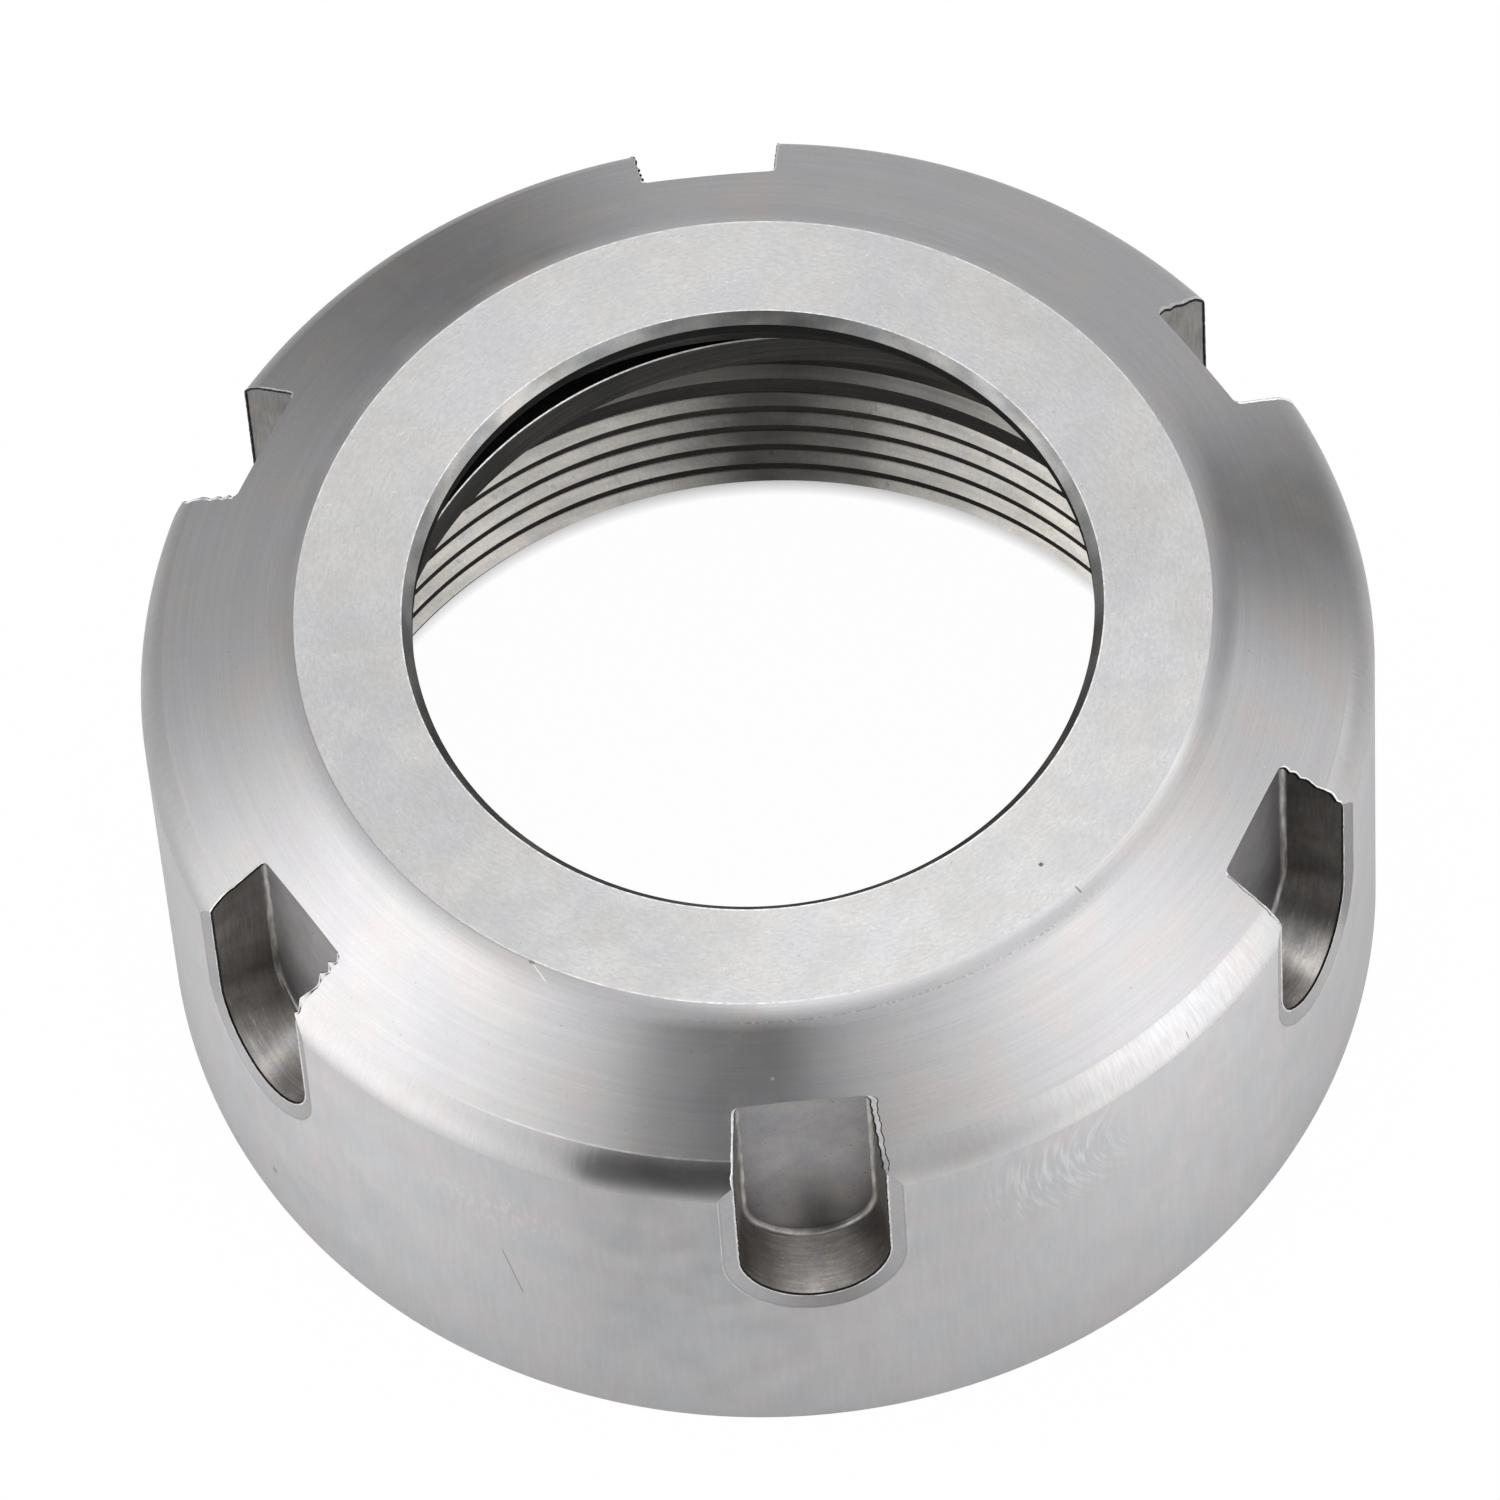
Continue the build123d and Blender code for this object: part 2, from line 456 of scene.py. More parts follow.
revolve(
    (body["faceRadius"], body["height"], 0.0),
    [
        ("ground", 6, openingRadius + inside["lipChamferWidth"], body["height"], 0.0),
        ("lip", 4, openingRadius, lipHeight, 0.0),
        ("bored", 2, openingRadius, seatTop, 0.0),
        ("bored", 6, seatFoot, grooveTop, 0.0),
        ("bored", 1, inside["grooveRadius"], grooveTop, 0.0),
        ("bored", 1, inside["grooveRadius"], ringTop, 0.0),
    ],
    frontAngles,
)
revolve(
    (breakRadius, ringTop, ringOffset),
    [
        ("broken", 1, inside["ringRadius"], ringTop - inside["ringBreak"], ringOffset),
        ("ring", 2, inside["ringRadius"], ringTop - inside["ringThickness"], ringOffset),
        ("ring", 3, inside["reliefRadius"], inside["reliefTop"], 0.0),
        ("ring", 2, inside["reliefRadius"], inside["reliefStart"], 0.0),
        ("ring", 1, crestRadius, inside["landTop"], 0.0),
    ],
    footAngles,
)
# foot, its broken outer edge and the plain cylinder up to the slots
revolve(
    (thread["entryRadius"], 0.0, 0.0),
    [
        ("ground", 4, body["radius"] - body["footBreak"], 0.0, 0.0),
        ("broken", 1, body["radius"], body["footBreak"], 0.0),
        ("barrel", 5, body["radius"], rimHeight[-1], 0.0),
    ],
    footAngles,
)

# Level face between the groove's circle and the ring's, which cross. Each side of one circle
# makes a triangle with the point that the other circle has reached by then.
upperAngles, lowerAngles = frontAngles[:-1], footAngles[:-1]
upperCount, lowerCount = len(upperAngles), len(lowerAngles)
upperLoop = onAxis(inside["grooveRadius"], ringTop, upperAngles)
lowerLoop = onAxis(breakRadius, ringTop, lowerAngles) + [ringOffset, 0.0, 0.0]
ahead = np.arctan2(lowerLoop[:, 1], lowerLoop[:, 0]) - lowerAngles
reached = lowerAngles + (ahead + np.pi) % (2 * np.pi) - np.pi


def lastPoint(loopAngles, nextAngles, side):
    # number of a loop's last point before the angle of the next point of the other loop
    nextAngles = np.append(nextAngles[1:], nextAngles[0] + 2 * np.pi)
    wrapped = np.concatenate([loopAngles - 2 * np.pi, loopAngles, loopAngles + 2 * np.pi])
    return (np.searchsorted(wrapped, nextAngles, side=side) - 1) % len(loopAngles)


upperIndex, lowerIndex = np.arange(upperCount), np.arange(lowerCount)
upperSides = [
    upperIndex,
    (upperIndex + 1) % upperCount,
    upperCount + lastPoint(reached, upperAngles, "left"),
]
lowerSides = [
    upperCount + lowerIndex,
    upperCount + (lowerIndex + 1) % lowerCount,
    lastPoint(upperAngles, reached, "right"),
]
levelTriangles = np.concatenate([upperSides, lowerSides], axis=1).T
levelPoints = np.concatenate([upperLoop, lowerLoop])
middle = levelPoints[levelTriangles].mean(1)
insideGroove = np.hypot(middle[:, 0], middle[:, 1]) < inside["grooveRadius"]
fromRing = np.hypot(middle[:, 0] - ringOffset, middle[:, 1]) - breakRadius
facesUp = insideGroove & (fromRing > -inside["levelLooseness"])
# the level face takes the near-black painted shade finish, for the shadow under the lip
for chosen, up in ((facesUp, 1.0), (~facesUp, -1.0)):
    normals = np.broadcast_to([0.0, 0.0, up], levelPoints.shape)
    edge = np.ones(len(levelPoints))
    patches.append((levelPoints, normals, levelTriangles[chosen], "crease", edge))

# A turn of the thread is five strips, measured downwards from the middle of the crest above it:
# each a start, an end, its steps and the way its side leans
crestHalf, rootHalf = thread["crestShare"] * pitch / 2, thread["rootShare"] * pitch / 2
flankRun = pitch / 2 - crestHalf - rootHalf
flankRise = (rootRadius - crestRadius) / flankRun
helixTurn = pitch / (2 * np.pi)
crestLine = thread["crestHeight"] + helixTurn * (footAngles - thread["crestAngle"])
fade = np.clip((footAngles - thread["fadeStart"]) / thread["fadeTurn"], 0, 1)
lastTurnDepth = 1 - fade * fade * (3 - 2 * fade)
rootStart = crestHalf + flankRun
strips = (
    (0.0, crestHalf, 1, 0.0),
    (crestHalf, rootStart, 3, 1.0),
    (rootStart, rootStart + 2 * rootHalf, 1, 0.0),
    (rootStart + 2 * rootHalf, pitch - crestHalf, 3, -1.0),
    (pitch - crestHalf, pitch, 1, 0.0),
)


def threadPoints(turn, down):
    # height, radius, entry cone's radius and share of depth at a way down a turn: the radius is
    # the crest's plus the flank's rise between the crest's edge and the groove's middle
    height = np.clip(crestLine + pitch - turn * pitch - down, 0.0, inside["landTop"])
    fromRoot = np.abs(crestLine + pitch - turn * pitch - height - pitch / 2)
    sink = np.clip((pitch / 2 - crestHalf - fromRoot) * flankRise, 0, rootRadius - crestRadius)
    share = lastTurnDepth if turn == 0 else float(turn > 0)
    entry = thread["entryRadius"] - thread["entrySlope"] * height
    return height, crestRadius + sink * share, entry, share


for turn in range(thread["firstTurn"], thread["lastTurn"] + 1):
    for start, end, steps, lean in strips:
        # a strip is split where it meets the entry cone
        height, radius, entry, share = threadPoints(turn, start)
        startGap = entry - radius
        height, radius, entry, share = threadPoints(turn, end)
        change = startGap - (entry - radius)
        change = np.where(np.abs(change) < tiny, tiny, change)
        split = start + (end - start) * np.clip(startGap / change, 0, 1)
        for first, last in ((start, split), (split, end)):
            if np.max(last - first) < thread["leastStrip"]:
                continue
            height, radius, entry, share = threadPoints(turn, (first + last) / 2)
            slope = np.where(entry >= radius, -thread["entrySlope"], -lean * flankRise * share)
            down = first + (last - first) * shares(steps)[:, None]
            height, radius, entry, share = threadPoints(turn, down)
            radius = np.maximum(radius, entry)
            normals = onAxis(-1.0, slope, footAngles) + (
                onAxis(-slope * helixTurn / radius, 0.0, footAngles + np.pi / 2)
            )
            addPatch(onAxis(radius, height, footAngles), unit(normals), "thread")
print("inside and thread worked out")


def linear(code):
    # sRGB hex to linear colour
    value = np.array([int(code[i : i + 2], 16) / 255 for i in (0, 2, 4)])
    value = np.where(value <= 0.04045, value / 12.92, ((value + 0.055) / 1.055) ** 2.4)
    return (*value.tolist(), 1.0)


def emptyTree(holder):
    # node tree of a material or a world, with nothing in it yet
    holder.use_nodes = True
    holder.node_tree.nodes.clear()
    return holder.node_tree


def addNode(tree, kind, inputs=None, **settings):
    # an input is a plain value, a socket to link, or a node whose first output is linked
    node = tree.nodes.new("ShaderNode" + kind)
    for key, value in settings.items():
        setattr(node, key, value)
    for key, value in (inputs or {}).items():
        if isinstance(value, bpy.types.Node):
            value = value.outputs[0]
        if isinstance(value, bpy.types.NodeSocket):
            tree.links.new(value, node.inputs[key])
        else:
            node.inputs[key].default_value = value
    return node


def within(tree, value, middle, half, soft):
    # 1 where a value or an angle in degrees lies within its limits, 0 outside, soft between
    away = addNode(tree, "Math", {0: value, 1: middle}, operation="SUBTRACT")
    away = addNode(tree, "Math", {0: away, 1: 180.0, 2: -180.0}, operation="WRAP")
    away = addNode(tree, "Math", {0: away}, operation="ABSOLUTE")
    limits = {"Value": away, "From Min": half + soft, "From Max": half - soft}
    return addNode(tree, "MapRange", limits, interpolation_type="SMOOTHSTEP")


# Where a few small marks lie: the middle of the curved ripples on the barrel, and how far the
# hairline scratch and the nick at the rim turn round the axis, in degrees for each millimetre
smallMarks = {"rippleAzimuth": -53.0, "rippleHeight": 15.5, "hairLean": 0.564, "nickLean": -5.5}


def placesOnNut(tree):
    # The ways in which a pattern can lie on the nut, in millimetres: solid is the plain place,
    # turned runs along the outline and round the axis, milled with the depth of a slot, ripples
    # round their middle. The single numbers, angles in degrees, place a line or a limit.
    place = addNode(tree, "TexCoord").outputs["Object"]
    solid = addNode(tree, "VectorMath", {0: place, "Scale": 1 / millimetre}, operation="SCALE")
    axes = addNode(tree, "SeparateXYZ", {0: solid})
    x, y, height = axes.outputs
    flat = addNode(tree, "VectorMath", {0: solid, 1: (1.0, 1.0, 0.0)}, operation="MULTIPLY")
    radius = addNode(tree, "VectorMath", {0: flat}, operation="LENGTH").outputs["Value"]
    outwards = addNode(tree, "VectorMath", {0: flat}, operation="NORMALIZE")
    girth = addNode(tree, "VectorMath", {0: outwards, "Scale": body["radius"]}, operation="SCALE")
    girthX, girthY, level = addNode(tree, "SeparateXYZ", {0: girth}).outputs
    along = addNode(tree, "Math", {0: radius, 1: height}, operation="SUBTRACT")
    beside = addNode(tree, "Math", {0: girthX, 1: girthY}, operation="ADD")
    azimuth = addNode(tree, "Math", {0: y, 1: x}, operation="ARCTAN2")
    azimuth = addNode(tree, "Math", {0: azimuth}, operation="DEGREES")
    firstAngle, halfSector = float(np.degrees(slots["firstAngle"])), 180.0 / slots["count"]
    fromSlot = addNode(tree, "Math", {0: azimuth, 1: firstAngle}, operation="SUBTRACT")
    fromSlot = addNode(tree, "Math", {0: fromSlot, 1: halfSector, 2: -halfSector}, operation="WRAP")
    rippleAngle = np.radians(smallMarks["rippleAzimuth"])
    rippleSpot = onAxis(body["radius"], smallMarks["rippleHeight"], rippleAngle).tolist()
    fromRipple = addNode(tree, "VectorMath", {0: solid, 1: rippleSpot}, operation="DISTANCE")
    hair = {0: height, 1: smallMarks["hairLean"], 2: azimuth}
    nick = {0: radius, 1: smallMarks["nickLean"], 2: azimuth}
    return {
        "solid": solid,
        "turned": addNode(tree, "CombineXYZ", {0: along, 1: girthX, 2: girthY}),
        "milled": addNode(tree, "CombineXYZ", {0: radius, 1: height, 2: beside}),
        "ripples": addNode(tree, "CombineXYZ", {0: fromRipple.outputs["Value"], 1: y, 2: height}),
        "radius": radius,
        "height": height,
        "azimuth": azimuth,
        "fromSlot": fromSlot,
        "hair": addNode(tree, "Math", hair, operation="MULTIPLY_ADD"),
        "nick": addNode(tree, "Math", nick, operation="MULTIPLY_ADD"),
        "edge": addNode(tree, "Attribute", attribute_name="edgeDistance").outputs["Fac"],
    }


def noiseOf(tree, place, sizes):
    # noise between 0 and 1 whose features have these sizes in millimetres, or one for all ways
    scale = (1 / np.broadcast_to(sizes, 3)).tolist()
    scaled = addNode(tree, "VectorMath", {0: place, 1: scale}, operation="MULTIPLY")
    return addNode(tree, "TexNoise", {"Vector": scaled, "Scale": 1.0, "Detail": 1.0})


def layer(tree, places, entry, outside):
    # One layer of a finish: low, high, pattern and limits. The pattern is its way over the nut,
    # its sizes, and the two levels of the noise that stand for low and high. Beyond a limit,
    # which is a number, its middle, half width and soft edge, the layer has the value outside.
    low, high, pattern, *limits = entry
    amount = high
    if pattern:
        way, sizes, start, end = pattern
        noise = noiseOf(tree, places[way], sizes)
        ends = {"From Min": start, "From Max": end, "To Min": low, "To Max": high}
        amount = addNode(tree, "MapRange", {"Value": noise, **ends})
    for number, middle, half, soft in limits:
        share = within(tree, places[number], middle, half, soft)
        amount = addNode(tree, "Mix", {0: share, 2: outside, 3: amount}, data_type="FLOAT")
    return amount


# What all finishes share: the noise's levels at the first and last tint, how far the polish
# differs from place to place and its pattern, and the quarter turn of the sheen's long way
steelLook = {
    "tintLevels": (0.36, 0.64),
    "polishSpread": 0.07,
    "polishPattern": ("solid", 1.8, 0.35, 0.65),
    "sheenTurn": 0.25,
}


def steel(finish):
    # one recipe for every cut of the same steel; a finish's dictionary says what the tool left
    material = bpy.data.materials.new(finish["name"])
    tree = emptyTree(material)
    places = placesOnNut(tree)

    # slow tints, then every layer of shade multiplied in
    noise = noiseOf(tree, places["solid"], finish["tintSize"])
    ramp = addNode(tree, "ValToRGB", {0: noise})
    tints = ramp.color_ramp.elements
    while len(tints) < len(finish["tints"]):
        tints.new(1.0)
    levels = np.linspace(*steelLook["tintLevels"], len(tints))
    for tint, level, code in zip(tints, levels, finish["tints"]):
        tint.position, tint.color = level, linear(code)
    shade = 1.0
    for entry in finish["shades"].values():
        amount = layer(tree, places, entry, 1.0)
        shade = addNode(tree, "Math", {0: shade, 1: amount}, operation="MULTIPLY")
    colour = addNode(tree, "VectorMath", {0: ramp, "Scale": shade.outputs[0]}, operation="SCALE")

    # polish that differs a little from place to place, round the finish's own roughness
    low = finish["roughness"] * (1 - steelLook["polishSpread"])
    high = finish["roughness"] * (1 + steelLook["polishSpread"])
    polish = layer(tree, places, (low, high, steelLook["polishPattern"]), 0.0)
    inputs = {
        "Base Color": colour,
        "Metallic": 1.0,
        "Roughness": polish,
        "Anisotropic": finish["anisotropy"],
        "Anisotropic Rotation": steelLook["sheenTurn"],
        "Tangent": addNode(tree, "Tangent", direction_type="RADIAL", axis="Z"),
    }

    # heights of the marks in micrometres, summed and given to the bump
    height = 0.0
    for entry in finish["marks"].values():
        amount = layer(tree, places, entry, 0.0)
        height = addNode(tree, "Math", {0: height, 1: amount}, operation="ADD")
    if finish["marks"]:
        inputs["Normal"] = addNode(tree, "Bump", {"Height": height, "Distance": micrometre})
    shader = addNode(tree, "BsdfPrincipled", inputs)
    addNode(tree, "OutputMaterial", {"Surface": shader})
    return material


# Where the curved ripples and the streaks on the shoulder's right lie
rightRipples = (("azimuth", -65.0, 6.0, 4.0), ("height", 14.9, 2.4, 1.6))
leftRipples = (("azimuth", -119.0, 6.0, 5.0), ("height", 13.7, 1.2, 1.2))
rightShoulder = ("azimuth", -50.0, 14.0, 6.0)

# Values of each finish; tints are sRGB, tint sizes are in millimetres. Lines finer than a tenth
# of a millimetre are drawn about a tenth wide, so that they still show at the photo's size.
coneTints = ("C9C8CB", "CBC9CB", "CBCACA", "CEC9C9")
shoulderTints = ("CAC9CB", "CBC9CA", "CBCACA", "CDC9C9")
finishes = {
    # fine ground face: soft sheen along the grinding, tiny bright grains, and painted highlights as bright
    # thin lines at the opening and the rim
    "ground": {
        "name": "groundSteelFace", "roughness": 0.271, "anisotropy": 0.59,
        "tints": ("CBCBCD", "CCCBCC", "CCCCCB", "CECBCB"), "tintSize": 2.4,
        "shades": {
            "dashes": (0.955, 1.04, ("turned", (0.12, 0.5, 0.5), 0.34, 0.66)),
            "grain": (0.97, 1.03, ("solid", 0.13, 0.32, 0.68)),
            "clouds": (0.985, 1.015, ("solid", 3.5, 0.35, 0.65)),
            "sparks": (1.0, 1.2, ("solid", 0.12, 0.7, 0.78)),
            "pits": (1.0, 0.8, ("solid", 0.16, 0.75, 0.8)),
            "darkPit": (1.0, 0.2, None, ("radius", 16.85, 0.08, 0.04), ("azimuth", -50.73, 0.28, 0.12)),
            # painted highlights: bright thin lines at the opening's edge and at the rim
            "lipHighlight": (1.1, 1.5, ("turned", (1.0, 0.5, 0.5), 0.35, 0.6), ("radius", 14.17, 0.03, 0.02)),
            "frontRimHighlight": (
                1.05, 1.35, ("turned", (1.0, 0.4, 0.4), 0.35, 0.6),
                ("radius", 18.46, 0.035, 0.02), ("azimuth", -106.0, 24.0, 10.0),
            ),
            "backRimHighlight": (
                1.0, 1.3, ("turned", (1.0, 0.6, 0.6), 0.3, 0.6),
                ("radius", 18.46, 0.03, 0.02), ("azimuth", 95.0, 75.0, 20.0),
            ),
        },
        "marks": {"dashes": (0.0, 0.25, ("turned", (0.12, 0.8, 0.8), 0.3, 0.7))},
    },
    # rim rounded with the same tool as the cone: its sheen runs further across it
    "rim": {
        "name": "turnedSteelRim", "roughness": 0.239, "anisotropy": 0.97,
        "tints": coneTints, "tintSize": 3.0,
        "shades": {
            "lines": (0.975, 1.025, ("turned", (0.1, 9.0, 9.0), 0.32, 0.68)),
            "grain": (0.98, 1.02, ("solid", 0.14, 0.3, 0.7)),
            "rightTick": (1.0, 0.5, None, ("radius", 18.7, 0.17, 0.05), ("azimuth", -49.85, 0.13, 0.06)),
            # the nick is painted bright as a highlight, with a painted shade beside it
            "nick": (1.0, 1.55, None, ("nick", -223.9, 0.14, 0.08), ("radius", 18.8, 0.23, 0.05)),
            "nickShade": (1.0, 0.45, None, ("radius", 18.55, 0.06, 0.03), ("azimuth", -121.8, 0.35, 0.15)),
            # painted shade along the rim's edge, and a painted line of shade and highlight at the rim's
            # foot
            "rimShade": (1.0, 0.86, None, ("radius", 18.54, 0.04, 0.02), ("azimuth", -150.0, 32.0, 10.0)),
            "rimFootShadeAndHighlight": (
                0.8, 1.12, ("turned", (0.5, 0.25, 0.25), 0.4, 0.6),
                ("radius", 19.22, 0.03, 0.02), ("azimuth", -75.0, 26.0, 8.0),
            ),
        },
        "marks": {"lines": (0.0, 0.05, ("turned", (0.1, 9.0, 9.0), 0.3, 0.7))},
    },
    # fine turned cone, close to a mirror, with the tool's lines round it
    "turned": {
        "name": "turnedSteelCone", "roughness": 0.262, "anisotropy": 0.73,
        "tints": coneTints, "tintSize": 3.0,
        "shades": {
            "lines": (0.975, 1.025, ("turned", (0.1, 9.0, 9.0), 0.32, 0.68)),
            "bands": (0.985, 1.015, ("turned", (0.5, 18.0, 18.0), 0.35, 0.65)),
            "grain": (0.985, 1.015, ("solid", 0.14, 0.3, 0.7)),
            "sparks": (1.0, 1.2, ("solid", 0.11, 0.75, 0.8)),
            "pits": (1.0, 0.75, ("solid", 0.17, 0.77, 0.82)),
            "speck": (1.0, 1.5, None, ("radius", 21.18, 0.06, 0.03), ("azimuth", -91.65, 0.2, 0.1)),
            # painted highlight along the cone's end, over one range of azimuth
            "coneEndHighlight": (
                1.1, 1.35, ("turned", (1.0, 0.8, 0.8), 0.3, 0.6),
                ("radius", 23.99, 0.035, 0.02), ("azimuth", -106.0, 14.0, 5.0),
            ),
        },
        "marks": {"lines": (0.0, 0.06, ("turned", (0.1, 9.0, 9.0), 0.3, 0.7))},
    },
    # shoulder rounded by hand or in a second cut: streaks run across the band
    "shoulder": {
        "name": "turnedSteelShoulder", "roughness": 0.25, "anisotropy": 0.99,
        "tints": shoulderTints, "tintSize": 2.5,
        "shades": {
            "streaks": (0.98, 1.02, ("turned", (1.2, 0.16, 0.16), 0.32, 0.68)),
            "grain": (0.98, 1.02, ("solid", 0.13, 0.3, 0.7)),
            "tick": (1.0, 0.5, None, ("height", 18.5, 0.17, 0.06), ("azimuth", -50.0, 0.07, 0.05)),
            "rightStreaks": (0.95, 1.05, ("turned", (1.2, 0.12, 0.12), 0.34, 0.66), rightShoulder),
        },
        "marks": {
            "streaks": (0.0, 0.5, ("turned", (1.5, 0.3, 0.3), 0.3, 0.7)),
            "rightStreaks": (0.0, 0.5, ("turned", (1.5, 0.18, 0.18), 0.3, 0.7), rightShoulder),
        },
    },
    # satin cylinder: wide soft sheen, faint upright streaks, cold and warm patches
    "barrel": {
        "name": "turnedSteelBarrel", "roughness": 0.335, "anisotropy": 0.89,
        "tints": ("C9CACC", "CACACC", "CBCACB", "CDC9CA"), "tintSize": 2.6,
        "shades": {
            "streaks": (0.98, 1.02, ("turned", (2.5, 0.22, 0.22), 0.32, 0.68)),
            "grain": (0.98, 1.02, ("solid", 0.14, 0.3, 0.7)),
            "clouds": (0.985, 1.015, ("solid", 2.5, 0.35, 0.65)),
            "hair": (1.0, 0.5, None, ("hair", -112.64, 0.07, 0.05), ("height", 8.93, 1.5, 0.1)),
            "leftTick": (1.0, 0.6, None, ("height", 2.93, 0.2, 0.06), ("azimuth", -148.0, 0.3, 0.2)),
            "rightRipples": (0.97, 1.2, ("ripples", (0.15, 1.6, 1.6), 0.46, 0.66), *rightRipples),
            "leftRipples": (0.98, 1.1, ("solid", (0.2, 0.2, 0.6), 0.46, 0.68), *leftRipples),
        },
        "marks": {
            "streaks": (0.0, 0.4, ("turned", (2.5, 0.3, 0.3), 0.3, 0.7)),
            "rightRipples": (0.0, 2.2, ("ripples", (0.16, 1.6, 1.6), 0.46, 0.7), *rightRipples),
            "leftRipples": (0.0, 1.2, ("solid", (0.2, 0.2, 0.6), 0.46, 0.7), *leftRipples),
        },
    },
    # slot walls: the cutter's lines at one depth, brownish blotches, a painted shadow along the top
    # edge, a round end painted lighter for the light it reflects from above, and painted shade on the
    # right slot
    "wall": {
        "name": "milledSteelWall", "roughness": 0.36, "anisotropy": 0.0,
        "tints": ("888687", "8D8A87", "908C88", "928F8C"), "tintSize": 1.6,
        "shades": {
            "lines": (0.9, 1.12, ("milled", (0.11, 1.4, 1.4), 0.34, 0.66)),
            "scratches": (1.0, 1.5, ("milled", (0.1, 0.7, 0.7), 0.66, 0.74), ("height", 9.0, 3.5, 1.0)),
            "blotches": (0.88, 1.08, ("solid", 1.1, 0.35, 0.65)),
            "grain": (0.93, 1.07, ("solid", 0.14, 0.3, 0.7)),
            # painted light: the round end made lighter, for the light it reflects from above
            "roundEndPaintedLight": (1.0, 2.9, None, ("height", 8.7, 3.2, 1.6), ("fromSlot", 0.0, 5.0, 2.0)),
            # painted shade on the right slot's upper wall
            "rightSlotShade": (1.0, 0.6, None, ("azimuth", -24.0, 5.0, 2.0), ("height", 17.5, 4.0, 2.5)),
            # painted shadow along the wall's top edge, under the burr
            "topEdgeShadow": (1.0, 0.4, None, ("edge", 0.0, 0.04, 0.03)),
        },
        "marks": {"lines": (0.0, 0.6, ("milled", (0.11, 1.4, 1.4), 0.3, 0.7))},
    },
    # round corner between floor and wall, burnished by the cutter's edge in wavy streaks
    "corner": {
        "name": "milledSteelCorner", "roughness": 0.36, "anisotropy": 0.0,
        "tints": ("A2A1A2", "A8A5A3", "AAA6A3", "ACA9A6"), "tintSize": 1.6,
        "shades": {
            "streaks": (0.7, 1.35, ("milled", (0.14, 1.1, 1.1), 0.34, 0.66)),
            "grain": (0.9, 1.1, ("solid", 0.14, 0.3, 0.7)),
        },
        "marks": {"streaks": (0.0, 2.0, ("milled", (0.16, 1.1, 1.1), 0.3, 0.7))},
    },
    # slot floors: dull and even, with painted shade towards the round end and over the right slot, small
    # dark pits
    "floor": {
        "name": "milledSteelFloor", "roughness": 0.5, "anisotropy": 0.0,
        "tints": ("A6A5A8", "A8A6A8", "A9A6A7", "AAA7A6"), "tintSize": 2.0,
        "shades": {
            "clouds": (0.95, 1.05, ("solid", 1.0, 0.35, 0.65)),
            "grain": (0.95, 1.05, ("solid", 0.13, 0.3, 0.7)),
            "pits": (1.0, 0.6, ("solid", 0.2, 0.7, 0.76)),
            "sparks": (1.0, 1.3, ("solid", 0.11, 0.74, 0.78)),
            # painted shade towards the round end
            "foot": (1.0, 0.6, None, ("height", 10.0, 4.0, 3.0)),
            # painted shade over the right slot's floor
            "rightSlotShade": (1.0, 0.55, None, ("azimuth", -28.7, 12.0, 4.0)),
        },
        "marks": {"grain": (0.0, 0.6, ("solid", 0.15, 0.3, 0.7))},
    },
    # chamfer along the slots: plain and bright, with painted highlights as a white inner and a white outer
    # line, a painted shade line beside the outer one, and painted shade on the right slot's far side
    "chamfer": {
        "name": "milledSteelChamfer", "roughness": 0.4, "anisotropy": 0.0,
        "tints": ("B3B3B6", "B6B5B7", "B7B5B6", "B9B5B5"), "tintSize": 1.5,
        "shades": {
            "grain": (0.96, 1.04, ("solid", 0.14, 0.3, 0.7)),
            # painted shade on the right slot's far side
            "farSideShade": (1.0, 0.68, None, ("azimuth", -20.8, 2.2, 1.2)),
            # painted highlights at both edges, with a painted shade line inside the outer one
            "innerHighlight": (1.1, 1.5, ("solid", 0.4, 0.35, 0.6), ("edge", 0.0, 0.07, 0.03)),
            "outerShade": (1.0, 0.84, None, ("edge", 0.87, 0.035, 0.02)),
            "outerHighlight": (1.15, 1.45, ("solid", 0.6, 0.35, 0.6), ("edge", 1.0, 0.06, 0.03)),
        },
        "marks": {},
    },
    # chamfer of the front opening: turned, with fine lines round it
    "lip": {
        "name": "turnedSteelLip", "roughness": 0.42, "anisotropy": 0.0,
        "tints": ("A8A9AA", "ABABAA", "ADACAA", "B0ADAA"), "tintSize": 2.0,
        "shades": {
            "lines": (0.76, 1.24, ("turned", (0.09, 3.0, 3.0), 0.32, 0.68)),
            "grain": (0.93, 1.07, ("solid", 0.15, 0.3, 0.7)),
        },
        "marks": {"lines": (0.0, 0.9, ("turned", (0.1, 3.0, 3.0), 0.3, 0.7))},
    },
    # seat cone and grooves inside: their dark tints paint the shade that lies there
    "bored": {
        "name": "boredSteelSeat", "roughness": 0.3, "anisotropy": 0.5,
        "tints": ("5A5A59", "5F5E5D", "61605F", "636160"), "tintSize": 3.0,
        "shades": {
            "lines": (0.9, 1.1, ("turned", (0.12, 12.0, 12.0), 0.32, 0.68)),
            "grain": (0.95, 1.05, ("solid", 0.15, 0.3, 0.7)),
        },
        "marks": {"lines": (0.0, 0.3, ("turned", (0.12, 12.0, 12.0), 0.3, 0.7))},
    },
    # bore of the extraction ring, its lead-in and the relief over the thread
    "ring": {
        "name": "boredSteelRing", "roughness": 0.34, "anisotropy": 0.5,
        "tints": ("9C9B99", "A3A19E", "A7A49F", "ABA7A2"), "tintSize": 3.0,
        "shades": {
            "lines": (0.82, 1.18, ("turned", (0.14, 10.0, 10.0), 0.34, 0.66)),
            "grain": (0.94, 1.06, ("solid", 0.15, 0.3, 0.7)),
        },
